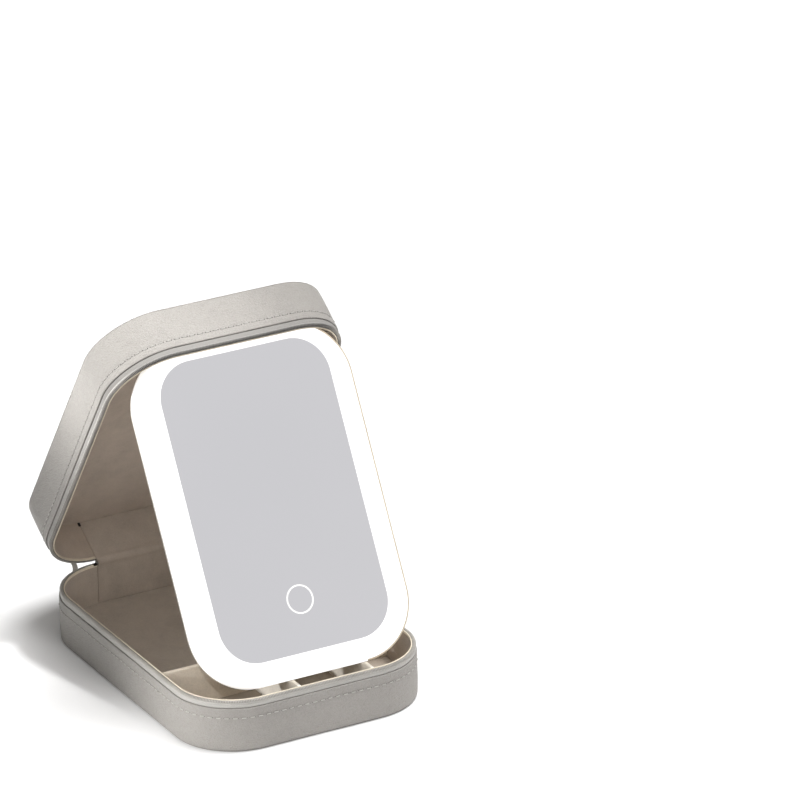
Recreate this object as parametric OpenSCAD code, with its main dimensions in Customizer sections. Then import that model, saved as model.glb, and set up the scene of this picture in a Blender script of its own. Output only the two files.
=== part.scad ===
// Travel vanity box with a tilting, lit mirror. Millimetres, +Z up, +X to the right
// seen from the front, +Y to the back, where the lid is hinged. The origin is the
// centre of the underside. The box is drawn standing open, with the mirror swung out
// of the lid and its foot standing on the front dividers, which props the lid up.

/* [Box] */
// Width of the closed box over the leather, side to side
box_w = 160; // [150:1:180]
// Depth of the closed box over the leather, front to back
box_d = 226; // [220:1:240]
// Corner radius in plan, on the outside
corner_r = 40; // [34:1:44]
// Height of the base from the underside to the closing plane
base_h = 33.5; // [31:0.5:40]
// Height of the lid from the closing plane to the top
lid_h = 33; // [31:0.5:38]
// Thickness of the leather cover
leather_t = 1; // [0.8:0.1:1.2]
// Thickness of the stiff board in the walls
board_t = 1.6; // [1.2:0.1:2]
// Thickness of the suede lining
lining_t = 0.8; // [0.6:0.1:1]
// Visible width of the zip tape, above or below the leather
tape_w = 4.9; // [4:0.1:6]
// Height of the padded floor over the underside
floor_z = 7; // [5:0.5:9]

/* [Standing open] */
// How far the lid stands open from closed, in degrees
lid_open = 55.5; // [55:0.1:56]
// How far the mirror is swung out of the lid, in degrees
mirror_out = 63.2; // [63:0.1:63.4]

/* [Compartments] */
// Where the cross partition stands, front to back
partition_y = -49.5; // [-60:0.5:-40]
// Height of the partition and of the front ends of the dividers
partition_z = 32.5; // [30:0.5:32.5]
// Thickness of the cross partition
partition_t = 3; // [2:0.5:4]
// Where the left divider stands, side to side
divider_left_x = -13.4; // [-20:0.1:-10]
// Where the right divider stands, side to side
divider_right_x = 36.2; // [30:0.1:40]
// Thickness of the dividers
divider_t = 2.4; // [2:0.1:3]

/* [Mirror] */
// Width of the mirror unit
mirror_w = 142; // [136:1:144]
// Height of the mirror unit
mirror_h = 209.1; // [204:0.1:209.1]
// Corner radius of the mirror unit
mirror_r = 37.5; // [34:0.5:40]
// Thickness of the mirror unit, glass to back
mirror_t = 15.5; // [14:0.5:16]
// Width of the silvered glass
glass_w = 113.8; // [108:0.2:116]
// Height of the silvered glass
glass_h = 185.4; // [180:0.2:186]
// Corner radius of the silvered glass
glass_r = 23.7; // [20:0.1:26]
// Lit border above the silvered glass
border_top = 9.6; // [9:0.1:12]
// Thickness of the glass and of the lit border
glass_t = 3.3; // [3:0.1:3.4]
// Radius of the touch ring, middle of its line
ring_r = 8.4; // [7:0.1:10]
// Height of the touch ring over the lower edge of the silvered glass
ring_up = 31.5; // [25:0.5:40]

/* [Hidden] */
$fn = 96;

e = 0.01;                                    // overshoot of a cut
hx = box_w / 2;
hy = box_d / 2;
wall_t = leather_t + board_t + lining_t;      // whole wall, leather to lining
seam_x = hx - corner_r;                       // the straight back edge ends here
leather_top = base_h - tape_w;                // upper edge of the base's leather

// hinge of the mirror, in the closed lid: from the lid's hinge line, and above the closing plane
piv_s = 215;
piv_d = 7.5;
// the unit round its own hinge line: how far its top edge and its front lie from it
top_v = 3.2;
front_n = 6.2;
back_n = front_n - mirror_t;
mid_v = top_v - mirror_h / 2;
glass_v = top_v - border_top - glass_h / 2;
frame_back = back_n + 1.8;                    // where the frame meets the back cover
border_back = front_n - glass_t;
mirror_lean = 180 - lid_open - mirror_out;    // lean of the glass from the ground
piv_y = hy - piv_s * cos(lid_open) + piv_d * sin(lid_open);
piv_z = base_h + piv_s * sin(lid_open) + piv_d * cos(lid_open);
arm_x = 26;                                   // the bracket's arms, from the middle
arm_w = 4;
pin_r = 1.25;
lid_in = base_h + lid_h - 5.2;                // lining of the lid's panel, closed
// where the foot of the mirror, its lower back edge, comes down, and the seat under it
foot_y = piv_y + (top_v - mirror_h) * cos(mirror_lean) - back_n * sin(mirror_lean);
foot_z = piv_z + (top_v - mirror_h) * sin(mirror_lean) + back_n * cos(mirror_lean);
seat_y = foot_y + 1.8;
seat_z = foot_z - 0.35 - 1.8 * tan(90 - mirror_lean);

// zip slider on the rear right corner, at the end of the chain
slide_a = 8;
slide_z = 29.8;
slide_out = 3.4;

module rr(w, d, r) {
    square([w - 2 * r, d], center = true);
    square([w, d - 2 * r], center = true);
    for (x = [-1, 1], y = [-1, 1])
        translate([x * (w / 2 - r), y * (d / 2 - r)]) circle(r);
}
// plate inset from the box's outline
module plate(inset, z0, z1)
    translate([0, 0, z0]) linear_extrude(z1 - z0)
        rr(box_w - 2 * inset, box_d - 2 * inset, corner_r - inset);
// wall that follows the box's outline, from inset a to inset b
module wall(a, b, z0, z1)
    difference() {
        plate(a, z0, z1);
        plate(b, z0 - 1, z1 + 1);
    }
// the same wall without its straight back edge, where the hinge is
module open_wall(a, b, z0, z1)
    difference() {
        wall(a, b, z0, z1);
        translate([-seam_x, 0, z0 - 1]) cube([2 * seam_x, box_d, z1 - z0 + 2]);
    }
// closed position to the standing lid
module on_lid()
    translate([0, hy, base_h]) rotate([-lid_open, 0, 0]) translate([0, -hy, -base_h]) children();
// mirror's own axes, X across, Y up the glass, Z out of the glass, to where it stands
module on_mirror()
    translate([0, piv_y, piv_z]) rotate([mirror_lean, 0, 0]) children();
module mplate(inset, z0, z1)
    translate([0, mid_v, z0]) linear_extrude(z1 - z0)
        rr(mirror_w - 2 * inset, mirror_h - 2 * inset, mirror_r - inset);
module mring(a, b, z0, z1)
    difference() {
        mplate(a, z0, z1);
        mplate(b, z0 - 1, z1 + 1);
    }
// room for the bracket's arms at the top of the mirror unit, open to the top and the back
module arm_slots()
    for (s = [-1, 1])
        translate([s * arm_x - arm_w / 2 - 0.5, -3.4, back_n - 1])
            cube([arm_w + 1, 8, 2.85 - back_n + 1]);

// ---------------------------------------------------------------- base
module base_bottom_cover() color("#8f8a82") plate(0, 0, 0.8);
module base_bottom_board() color("#6b5f52") plate(leather_t, 0.8, 3);
module base_frame_wall() color("#6b5f52")
    wall(leather_t, leather_t + board_t, 3, base_h - 0.8);
module base_side_cover() color("#b4afa6") {
    wall(0, leather_t, 0.8, leather_top);
    translate([-seam_x, hy - leather_t, leather_top - 1]) cube([2 * seam_x, leather_t, tape_w - 0.3]);
}
module base_wall_lining() color("#7d7265")
    difference() {
        wall(leather_t + board_t, wall_t, 3, base_h - 0.8);
        translate([-seam_x, 0, floor_z]) cube([2 * seam_x, box_d, base_h]);
    }
module base_floor_pad() color("#6e6459") plate(wall_t + 0.1, 3, floor_z);
module base_rim_edging() color("#d8cdb8") open_wall(1.1, wall_t, base_h - 0.8, base_h - 0.1);
module base_zip_tape() color("#bdbab4") open_wall(0.35, 1, leather_top + 0.1, base_h - 0.6);
module base_zip_teeth() color("#8a8580") open_wall(0.2, 1.05, base_h - 0.6, base_h - 0.05);
// leather strip that carries the hinge, lower half
module base_spine() color("#a9a49b")
    translate([-seam_x + 1, hy, 18]) cube([2 * seam_x - 2, 0.7, base_h - 19.4]);
// suede panel that runs down the back wall from the hinge fold
module base_hinge_lining() color("#7d7265")
    translate([-seam_x + 0.2, hy - wall_t, floor_z])
        cube([2 * seam_x - 0.4, lining_t, base_h - 0.3 - floor_z]);
module zip_end_stops() color("#9a9690")
    for (s = [-1, 1]) mirror([s < 0 ? 1 : 0, 0, 0])
        translate([seam_x - 1.8, hy - 1.9, base_h - 0.75]) cube([1.7, 1.8, 0.7]);
module cross_partition() color("#a5988a")
    intersection() {
        translate([-hx, partition_y - partition_t / 2, floor_z])
            cube([box_w, partition_t, partition_z - floor_z]);
        plate(wall_t + 0.05, 0, base_h);
    }
// divider: full height at the front wall, then a ramp that carries the mirror's foot
module divider(x) color("#e0cfae")
    translate([x - divider_t / 2, 0, 0])
        rotate([90, 0, 90]) linear_extrude(divider_t)
            polygon([[-hy + wall_t + 0.05, floor_z], [partition_y - partition_t / 2, floor_z],
                     [partition_y - partition_t / 2, seat_z], [seat_y, seat_z],
                     [seat_y - (partition_z - seat_z) / tan(90 - mirror_lean), partition_z], [-hy + wall_t + 0.05, partition_z]]);
module divider_left() divider(divider_left_x);
module divider_right() divider(divider_right_x);
// slider parked at the end of the chain; its lugs hold the pull
module at_slider() translate([seam_x, hy - corner_r, slide_z]) rotate([0, 0, -slide_a])
    translate([0, corner_r, 0]) children();
module zip_slider() color("#a8a39c") at_slider() {
    difference() {
        union() {
            translate([-4.5, 0.15, -3.9]) cube([9, 2.05, 6.4]);
            for (s = [-1, 1]) translate([s * 2.85 - 0.65, 2, 0]) {
                translate([0, 0, -1.6]) cube([1.3, slide_out - 2, 3.2]);
                translate([0, slide_out - 2, 0]) rotate([0, 90, 0]) cylinder(h = 1.3, r = 1.6);
            }
        }
        translate([-6, slide_out, 0]) rotate([0, 90, 0]) cylinder(h = 12, r = 0.75);
    }
}
module zip_pull() color("#a8a39c") at_slider() {
    translate([-3.45, slide_out, 0]) rotate([0, 90, 0]) cylinder(h = 6.9, r = 0.7);
    translate([-2, slide_out, 0]) rotate([0, 90, 0]) cylinder(h = 4, r = 1.2);
    translate([-2, slide_out - 0.7, -5]) cube([4, 1.4, 5]);
    difference() {
        union() {
            translate([-3, slide_out - 0.7, -20]) cube([6, 1.4, 16]);
            translate([0, slide_out - 0.7, -20]) rotate([-90, 0, 0]) cylinder(h = 1.4, r = 3);
        }
        translate([0, slide_out - 2, -19.5]) rotate([-90, 0, 0]) cylinder(h = 4, r = 1.5);
    }
}

// ---------------------------------------------------------------- lid, drawn closed
module lid_frame_wall() color("#6b5f52") on_lid()
    wall(leather_t, leather_t + board_t, base_h + 0.8, base_h + lid_h - 2.2);
module lid_side_cover() color("#b4afa6") on_lid() {
    wall(0, leather_t, base_h + tape_w, base_h + lid_h - 1);
    translate([-seam_x, hy - leather_t, base_h + 1.3]) cube([2 * seam_x, leather_t, tape_w - 0.3]);
}
module lid_top_board() color("#6b5f52") on_lid()
    plate(leather_t + board_t, base_h + lid_h - 4.4, base_h + lid_h - 2.2);
module lid_top_foam() color("#d9d4c8") on_lid()
    plate(leather_t, base_h + lid_h - 2.2, base_h + lid_h - 1);
module lid_top_cover() color("#bdb8b0") on_lid()
    plate(7, base_h + lid_h - 1, base_h + lid_h);
module lid_top_binding() color("#b4afa6") on_lid()
    wall(0, 7, base_h + lid_h - 1, base_h + lid_h);
module lid_wall_lining() color("#7d7265") on_lid()
    difference() {
        wall(leather_t + board_t, wall_t, base_h + 0.8, lid_in);
        translate([-seam_x, 0, base_h - 1]) cube([2 * seam_x, box_d, lid_in - base_h + 1]);
    }
module lid_panel_lining() color("#7d7265") on_lid()
    plate(leather_t + board_t, lid_in, lid_in + 0.8);
module lid_rim_edging() color("#8d8376") on_lid()
    open_wall(1.1, wall_t, base_h + 0.1, base_h + 0.8);
module lid_zip_tape() color("#bdbab4") on_lid()
    open_wall(0.35, 1, base_h + 0.6, base_h + tape_w - 0.1);
module lid_zip_teeth() color("#8a8580") on_lid()
    open_wall(0.2, 1.05, base_h + 0.05, base_h + 0.6);
module lid_spine() color("#a9a49b") on_lid()
    translate([-seam_x + 1, hy, base_h + 1.4]) cube([2 * seam_x - 2, 0.7, base_h - 19.4]);
module lid_hinge_lining() color("#7d7265") on_lid()
    translate([-seam_x + 0.2, hy - wall_t, base_h + 0.3])
        cube([2 * seam_x - 0.4, lining_t, lid_in - base_h - 0.3]);
// bracket on the lid's panel: a plate, and two arms with eyes for the mirror's pin
module bracket_plate() color("#c9c6c0") on_lid()
    translate([0, hy - piv_s, lid_in - 1.5]) difference() {
        translate([-32, -6, 0]) cube([64, 16, 1.5]);
        for (x = [-16, 16]) translate([x, 4, -1]) cylinder(h = 4, r = 1.1);
        for (s = [-1, 1]) translate([s * arm_x - arm_w / 2, -2.6, -1]) cube([arm_w, 5.2, 4]);
    }
module bracket_arms() color("#c9c6c0") on_lid()
    translate([0, hy - piv_s, base_h + piv_d])
        for (s = [-1, 1]) translate([s * arm_x - arm_w / 2, 0, 0]) difference() {
            union() {
                rotate([0, 90, 0]) cylinder(h = arm_w, r = 2.6);
                translate([0, -2.6, 0]) cube([arm_w, 5.2, lid_in - base_h - piv_d]);
            }
            translate([-1, 0, 0]) rotate([0, 90, 0]) cylinder(h = arm_w + 2, r = pin_r + 0.05);
        }
module bracket_screws() color("#d0cdc8") on_lid()
    for (x = [-16, 16]) translate([x, hy - piv_s + 4, lid_in - 1.5]) {
        translate([0, 0, -1]) cylinder(h = 1, r = 2.4);
        cylinder(h = 1.5, r = 1);
    }

// ---------------------------------------------------------------- mirror unit, in its own axes
module mirror_glass() color("#cccbd1") on_mirror()
    translate([0, glass_v, border_back]) linear_extrude(glass_t) rr(glass_w, glass_h, glass_r);
module light_border() color("#ffffff") on_mirror()
    difference() {
        mplate(0, border_back, front_n);
        translate([0, glass_v, border_back - 1]) linear_extrude(glass_t + 2)
            rr(glass_w, glass_h, glass_r);
    }
// translucent side wall with an inner ledge that carries the lamp board
module light_frame() color("#f6f4f0") on_mirror()
    difference() {
        union() {
            mring(0, 2.5, frame_back, border_back);
            mring(2.4, 11, -2.2, -1.2);
        }
        translate([-36, -12, -4]) cube([72, 13.6, 8]);
        arm_slots();
        translate([mirror_w / 2 - 8, mid_v - 49.7, -7]) cube([12, 9.4, 3.6]);
    }
module led_board() color("#e9efe6") on_mirror()
    difference() {
        mring(3.5, 10.5, -1.2, -0.4);
        translate([-36, -12, -4]) cube([72, 20, 8]);
    }
module leds() color("#fff3c4") on_mirror() {
    for (s = [-1, 1], i = [-8:8])
        translate([s * (mirror_w / 2 - 7) - 0.9, mid_v + i * 7.6 - 1.6, -0.4]) cube([1.8, 3.2, 0.9]);
    for (i = [-4:4])
        translate([i * 7.6 - 1.6, mid_v - mirror_h / 2 + 7 - 0.9, -0.4]) cube([3.2, 1.8, 0.9]);
}
// plate behind the glass, with posts for the back cover's screws
post = [for (x = [-48, 48], y = [-78, 0, 78]) [x, mid_v + y]];
module carrier_plate() color("#dedbd6") on_mirror()
    difference() {
        union() {
            difference() {
                mplate(12.5, border_back - 1.3, border_back);
                translate([0, glass_v - glass_h / 2 + ring_up, -20]) cylinder(h = 40, r = 9.4);
            }
            for (p = post) translate([p[0], p[1], frame_back]) cylinder(h = border_back - 1 - frame_back, r = 2.8);
        }
        for (p = post) translate([p[0], p[1], frame_back - 1]) cylinder(h = 6, r = 0.9);
    }
module touch_sensor() color("#b98a4a") on_mirror()
    translate([0, glass_v - glass_h / 2 + ring_up, border_back - 1]) cylinder(h = 1, r = 9);
module touch_ring() color("#ffffff") on_mirror()
    translate([0, glass_v - glass_h / 2 + ring_up, front_n]) difference() {
        cylinder(h = 0.12, r = ring_r + 0.5);
        translate([0, 0, -1]) cylinder(h = 3, r = ring_r - 0.5);
    }
module control_board() color("#2f6b45") on_mirror() {
    translate([-22, mid_v - 62, frame_back + 1.2]) cube([44, 26, 1.2]);
    for (p = [[-15, -55], [4, -52], [12, -58]])
        translate([p[0], mid_v + p[1], frame_back + 2.4]) cube([6, 5, 1.4]);
}
module battery() color("#c7ccd2") on_mirror()
    translate([-34, mid_v - 18, frame_back + 0.3]) cube([68, 42, 5]);
module charge_port() color("#b9bcc0") on_mirror()
    translate([mirror_w / 2 - 7.5, mid_v - 49.5, -6.8])
        difference() {
            cube([7.2, 9, 3.2]);
            translate([1.2, 0.4, 0.4]) cube([7, 8.2, 2.4]);
            }
module mirror_back_cover() color("#e9e5de") on_mirror()
    difference() {
        union() {
            mplate(0, back_n, frame_back - 0.3);
            mplate(2.7, frame_back - 0.4, frame_back);
            // bosses for the hinge pin
            for (s = [-1, 1], x = [20, 28.6])
                translate([s > 0 ? x : -x - 3.3, -3.3, frame_back - 0.5]) {
                    cube([3.3, 3.7, 2.2 - frame_back + 0.5]);
                }
        }
        arm_slots();
        translate([-40, 0, 0]) rotate([0, 90, 0]) cylinder(h = 80, r = pin_r);
        for (p = post) translate([p[0], p[1], back_n - 1]) {
            cylinder(h = 2, r = 2.3);
            cylinder(h = 8, r = 1.05);
        }
    }
module back_cover_screws() color("#8e9094") on_mirror()
    for (p = post) translate([p[0], p[1], back_n + 0.1]) {
        cylinder(h = 0.9, r = 2.1);
        cylinder(h = 5.5, r = 0.9);
    }
module mirror_hinge_pin() color("#a9abae") on_mirror()
    translate([-32.5, 0, 0]) rotate([0, 90, 0]) cylinder(h = 65, r = pin_r);

base_bottom_cover();
base_bottom_board();
base_frame_wall();
base_side_cover();
base_wall_lining();
base_floor_pad();
base_rim_edging();
base_zip_tape();
base_zip_teeth();
base_spine();
base_hinge_lining();
zip_end_stops();
cross_partition();
divider_left();
divider_right();
zip_slider();
zip_pull();
lid_frame_wall();
lid_side_cover();
lid_top_board();
lid_top_foam();
lid_top_cover();
lid_top_binding();
lid_wall_lining();
lid_panel_lining();
lid_rim_edging();
lid_zip_tape();
lid_zip_teeth();
lid_spine();
lid_hinge_lining();
bracket_plate();
bracket_arms();
bracket_screws();
mirror_glass();
light_border();
light_frame();
led_board();
leds();
carrier_plate();
touch_sensor();
touch_ring();
control_board();
battery();
charge_port();
mirror_back_cover();
back_cover_screws();
mirror_hinge_pin();
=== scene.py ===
import bpy, bmesh, math, random
import numpy as np
from mathutils import Vector, Matrix, noise


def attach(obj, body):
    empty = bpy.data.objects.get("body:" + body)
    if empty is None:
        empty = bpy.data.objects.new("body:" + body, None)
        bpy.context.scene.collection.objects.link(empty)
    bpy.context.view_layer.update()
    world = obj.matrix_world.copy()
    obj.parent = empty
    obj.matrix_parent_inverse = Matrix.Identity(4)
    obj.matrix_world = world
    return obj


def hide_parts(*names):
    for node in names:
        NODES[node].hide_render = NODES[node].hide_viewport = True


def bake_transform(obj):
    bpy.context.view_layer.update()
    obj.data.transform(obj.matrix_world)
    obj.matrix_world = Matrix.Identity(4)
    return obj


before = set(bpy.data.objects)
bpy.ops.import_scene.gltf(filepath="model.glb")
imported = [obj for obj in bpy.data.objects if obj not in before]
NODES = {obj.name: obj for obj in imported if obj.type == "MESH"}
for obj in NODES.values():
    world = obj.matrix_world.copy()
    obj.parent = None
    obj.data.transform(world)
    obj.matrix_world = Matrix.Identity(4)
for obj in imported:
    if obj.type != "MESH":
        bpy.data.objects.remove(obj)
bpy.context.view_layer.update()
random.seed(7)

# ------------------------------------------------------------------ sizes, millimetres, as in the CAD
W, D, R = 160.0, 226.0, 40.0
HB, HL = 33.5, 33.0
HX, HY = W / 2, D / 2
SEAM = HX - R
OPEN = math.radians(55.5)
LEAN = math.radians(61.3)
CO, SO = math.cos(OPEN), math.sin(OPEN)
CL, SL = math.cos(LEAN), math.sin(LEAN)
PIV_Y = HY - 215 * CO + 7.5 * SO
PIV_Z = HB + 215 * SO + 7.5 * CO
TOP_V, FRONT_N, MIR_H, MIR_W, MIR_R, MIR_T = 3.2, 6.2, 209.1, 142.0, 37.5, 15.5
MID_V = TOP_V - MIR_H / 2
BACK_N = FRONT_N - MIR_T
GLASS_W, GLASS_H, GLASS_R = 113.8, 185.4, 23.7
GLASS_V = TOP_V - 9.6 - GLASS_H / 2
FLOOR_Z = 7.0
LID_IN = HB + HL - 5.2


def to_lid(v):
    """closed position to the standing lid, on an N x 3 array"""
    v = np.asarray(v, float)
    a, b = v[:, 1] - HY, v[:, 2] - HB
    return np.column_stack([v[:, 0], HY + a * CO + b * SO, HB - a * SO + b * CO])


def to_mirror(v):
    """mirror's own axes (across, up the glass, out of the glass) to where it stands"""
    v = np.asarray(v, float)
    return np.column_stack([v[:, 0], PIV_Y + v[:, 1] * CL - v[:, 2] * SL, PIV_Z + v[:, 1] * SL + v[:, 2] * CL])


# ------------------------------------------------------------------ mesh helpers
def add(name, verts, faces, mat, body=None, uv=None, sharp=40, slots=None, face_slot=None):
    me = bpy.data.meshes.new(name)
    me.from_pydata([tuple(float(c) / 1000 for c in v) for v in verts], [], [tuple(int(i) for i in f) for f in faces])
    me.validate()
    if uv is not None:
        layer = me.uv_layers.new(name="UVMap")
        for poly in me.polygons:
            for k, li in enumerate(poly.loop_indices):
                layer.data[li].uv = uv(poly.index, k, me.loops[li].vertex_index)
    for m in (slots or [mat]):
        me.materials.append(m)
    if face_slot is not None:
        for poly in me.polygons:
            poly.material_index = face_slot(poly.index)
    bm = bmesh.new()
    bm.from_mesh(me)
    bmesh.ops.recalc_face_normals(bm, faces=bm.faces)
    for f in bm.faces:
        f.smooth = True
    for e in bm.edges:
        e.smooth = not (len(e.link_faces) == 2 and e.calc_face_angle(0) > math.radians(sharp))
    bm.to_mesh(me)
    bm.free()
    ob = bpy.data.objects.new(name, me)
    bpy.context.scene.collection.objects.link(ob)
    if body:
        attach(ob, body)
    return ob


class Path:
    """rounded rectangle walked clockwise seen from above, from the right end of the straight back edge"""

    def __init__(self, w=W, d=D, r=R, whole=False, cy=0.0):
        hx, hy = w / 2, d / 2
        self.r, self.whole = r, whole
        q = math.pi / 2
        self.seg = [("a", (hx - r, hy - r), q, -1), ("l", (hx, hy - r), (hx, -hy + r)),
                    ("a", (hx - r, -hy + r), 0, -1), ("l", (hx - r, -hy), (-hx + r, -hy)),
                    ("a", (-hx + r, -hy + r), -q, -1), ("l", (-hx, -hy + r), (-hx, hy - r)),
                    ("a", (-hx + r, hy - r), math.pi, -1)]
        if whole:
            self.seg.append(("l", (-hx + r, hy), (hx - r, hy)))
        self.cy = cy

    def length(self, inset=0.0):
        return sum(self.seglen(s, inset) for s in self.seg)

    def seglen(self, s, inset):
        return (self.r - inset) * math.pi / 2 if s[0] == "a" else math.dist(s[1], s[2])

    def on(self, s, f, inset=0.0):
        """point, outward normal at the fraction f of segment s"""
        if s[0] == "a":
            a = s[2] + s[3] * f * math.pi / 2
            n = (math.cos(a), math.sin(a))
            return (s[1][0] + (self.r - inset) * n[0], s[1][1] + (self.r - inset) * n[1] + self.cy), n
        t = ((s[2][0] - s[1][0]), (s[2][1] - s[1][1]))
        L = math.hypot(*t)
        n = (-t[1] / L, t[0] / L)
        return (s[1][0] + f * t[0] - inset * n[0], s[1][1] + f * t[1] - inset * n[1] + self.cy), n

    def at(self, s, inset=0.0):
        for g in self.seg:
            L = self.seglen(g, inset)
            if s <= L or g is self.seg[-1]:
                return self.on(g, min(1.0, s / L), inset)
            s -= L

    def samples(self, corner=22, step=5.0):
        """list of (segment, fraction, arc length), ends of segments not doubled"""
        out, s0 = [], 0.0
        for i, g in enumerate(self.seg):
            L = self.seglen(g, 0.0)
            n = corner if g[0] == "a" else max(2, int(round(L / step)))
            for k in range(n):
                out.append((g, k / n, s0 + L * k / n))
            s0 += L
        if not self.whole:
            out.append((self.seg[-1], 1.0, s0))
        return out


RIM = Path(whole=False)
RING = Path(whole=True)


def sweep(path, profile, corner=22, step=5.0, closed_profile=True, wobble=None):
    """profile is a list of (inset, z). Gives vertices, faces and a uv function in metres."""
    sm = path.samples(corner, step)
    n, m = len(sm), len(profile)
    V = []
    for (g, f, s) in sm:
        for j, (ins, z) in enumerate(profile):
            di, dz = wobble(s, j) if wobble else (0.0, 0.0)
            (x, y), nn = path.on(g, f, ins + di)
            V.append((x, y, z + dz))
    F, FU = [], []
    ring = n if path.whole else n - 1
    pr = m if closed_profile else m - 1
    pv = [0.0]
    for j in range(1, m + 1):
        a, b = profile[j - 1], profile[j % m]
        pv.append(pv[-1] + math.dist(a, b))
    total = path.length()
    for i in range(ring):
        i2 = (i + 1) % n
        s1 = sm[i][2]
        s2 = sm[i2][2] if i2 else total
        for j in range(pr):
            j2 = (j + 1) % m
            F.append((i * m + j, i2 * m + j, i2 * m + j2, i * m + j2))
            FU.append(((s1, pv[j]), (s2, pv[j]), (s2, pv[j + 1]), (s1, pv[j + 1])))
    if not path.whole and closed_profile:
        F.append(tuple(range(m)))
        F.append(tuple((n - 1) * m + j for j in reversed(range(m))))
        for e in (0, 1):
            FU.append([(p[0], p[1]) for p in profile])
    uv = lambda fi, k, vi: (FU[fi][k][0] / 1000, FU[fi][k][1] / 1000)
    return np.array(V), F, uv


def slab(path, z0, z1, edge=0.6, corner=16, step=6.0, crown=0.0, rings=1, inset=0.0, bottom_edge=None, soft=0.0, seed=0.0):
    """closed plate with rounded edges over a convex outline; its top can be crowned"""
    be = edge if bottom_edge is None else bottom_edge
    sm = path.samples(corner, step)
    n = len(sm)
    lev = []
    k = 4
    for i in range(k + 1):
        a = math.pi / 2 * i / k
        lev.append((inset + be * (1 - math.sin(a)), z0 + be * (1 - math.cos(a))))
    for i in range(k + 1):
        a = math.pi / 2 * i / k
        lev.append((inset + edge * (1 - math.cos(a)), z1 - edge * (1 - math.sin(a))))
    V, F = [], []
    for (ins, z) in lev:
        for (g, f, s) in sm:
            (x, y), nn = path.on(g, f, ins)
            V.append((x, y, z))
    top0 = len(lev) - 1
    # inner rings of the top, drawn towards the middle line
    hx, hy = max(abs(v[0]) for v in V), max(abs(v[1] - path.cy) for v in V)
    span = max(0.0, hy - hx)
    grow = [0.02, 0.05, 0.09, 0.14, 0.2, 0.28, 0.37, 0.47, 0.58, 0.7, 0.83, 0.94] if rings > 1 else []
    base = [V[top0 * n + i] for i in range(n)]
    for t in grow:
        for (x, y, z) in base:
            sx, sy = 0.0, path.cy + max(-span, min(span, y - path.cy))
            px, py = x + (sx - x) * t, y + (sy - y) * t
            d = t * hx
            h = crown * (1 - math.exp(-d / 14.0)) + crown * 0.12 * (1 - (1 - t) ** 2)
            if soft:
                h += soft * min(1.0, d / 10) * noise.noise(Vector((px / 28 + seed, py / 28, seed)))
            V.append((px, py, z1 + h))
    rows = len(lev) + len(grow)
    for r_ in range(rows - 1):
        for i in range(n):
            i2 = (i + 1) % n
            F.append((r_ * n + i, r_ * n + i2, (r_ + 1) * n + i2, (r_ + 1) * n + i))
    F.append(tuple(range(n)))
    F.append(tuple((rows - 1) * n + i for i in reversed(range(n))))
    return np.array(V), F


def flat_uv(V):
    return lambda fi, k, vi: (V[vi][0] / 1000, V[vi][1] / 1000)


def rounded_bar(x0, x1, y0, y1, z0, z1, r=0.8, seg=4, nx=2):
    """box along X with rounded long edges, as a closed mesh"""
    prof = []
    for (cy_, cz_, a0) in ((y1 - r, z1 - r, 0), (y0 + r, z1 - r, 90), (y0 + r, z0 + r, 180), (y1 - r, z0 + r, 270)):
        for k in range(seg + 1):
            a = math.radians(a0 + 90 * k / seg)
            prof.append((cy_ + r * math.cos(a), cz_ + r * math.sin(a)))
    m = len(prof)
    V, F = [], []
    for i in range(nx + 1):
        x = x0 + (x1 - x0) * i / nx
        for p in prof:
            V.append((x, p[0], p[1]))
    for i in range(nx):
        for j in range(m):
            F.append((i * m + j, (i + 1) * m + j, (i + 1) * m + (j + 1) % m, i * m + (j + 1) % m))
    F.append(tuple(reversed(range(m))))
    F.append(tuple(nx * m + j for j in range(m)))
    return np.array(V), F


def joined(parts):
    V, F, o = [], [], 0
    for v, f in parts:
        V.append(np.asarray(v, float))
        F += [tuple(i + o for i in q) for q in f]
        o += len(v)
    return np.vstack(V), F


def stitch(p, t, a, length=3.0, rad=0.36, lift=0.2, sink=0.5, flat=0.8):
    """one stitch: a short rope whose ends dive into the leather. p middle, t along, a out of the surface"""
    t, a = np.array(t, float), np.array(a, float)
    b = np.cross(t, a)
    V, F = [], []
    rows = [(-0.5, 0.35, 1.0), (-0.47, 0.75, 0.5), (-0.38, 0.98, 0.05), (-0.2, 1.0, 0.0), (0.0, 1.0, 0.0),
            (0.2, 1.0, 0.0), (0.38, 0.98, 0.05), (0.47, 0.75, 0.5), (0.5, 0.35, 1.0)]
    m = 8
    for (f, rr, dn) in rows:
        c = np.array(p) + t * length * f + a * (lift - sink * dn)
        for k in range(m):
            an = 2 * math.pi * k / m
            V.append(c + b * rad * rr * math.cos(an) + a * rad * rr * flat * math.sin(an))
    for i in range(len(rows) - 1):
        for k in range(m):
            F.append((i * m + k, i * m + (k + 1) % m, (i + 1) * m + (k + 1) % m, (i + 1) * m + k))
    F.append(tuple(reversed(range(m))))
    F.append(tuple((len(rows) - 1) * m + k for k in range(m)))
    return V, F


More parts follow.
